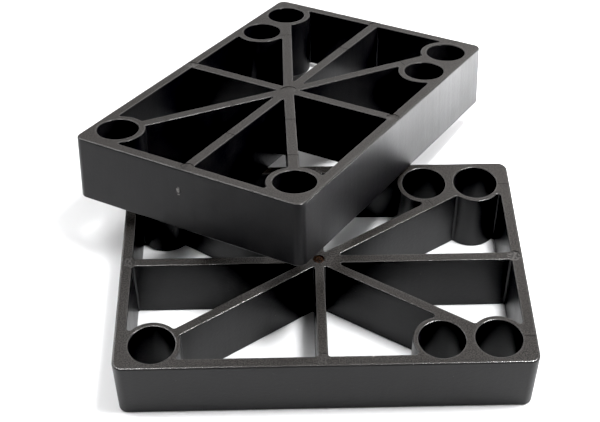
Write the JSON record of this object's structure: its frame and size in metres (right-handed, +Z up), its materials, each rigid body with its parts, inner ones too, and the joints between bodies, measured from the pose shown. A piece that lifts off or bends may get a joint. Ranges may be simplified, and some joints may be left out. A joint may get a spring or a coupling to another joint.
{
  "type": "ribbed support block",
  "caption": "Rectangular open-ribbed plastic support blocks with corner tubes, one leaning on the other, for blocking, levelling or supporting a wheel or jack.",
  "frame": {"origin": "middle of the lower block's underside, on the ground", "axes": "+X along the lower block's length to its paired-tube end, +Y across it to the side the upper block leans on, +Z up"},
  "size_m": [0.2219, 0.2787, 0.0904],
  "materials": {
    "black_plastic": "satin black moulded plastic with a fine grain and rubbed edges"
  },
  "bodies": {
    "lower": {"lower_block": "black_plastic"},
    "upper": {"upper_block": "black_plastic"}
  },
  "joints": [
    {"name": "lift_off", "type": "slide", "parent": "lower", "child": "upper", "axis": [0, 0, 1], "range_m": [0, 0.08]}
  ]
}
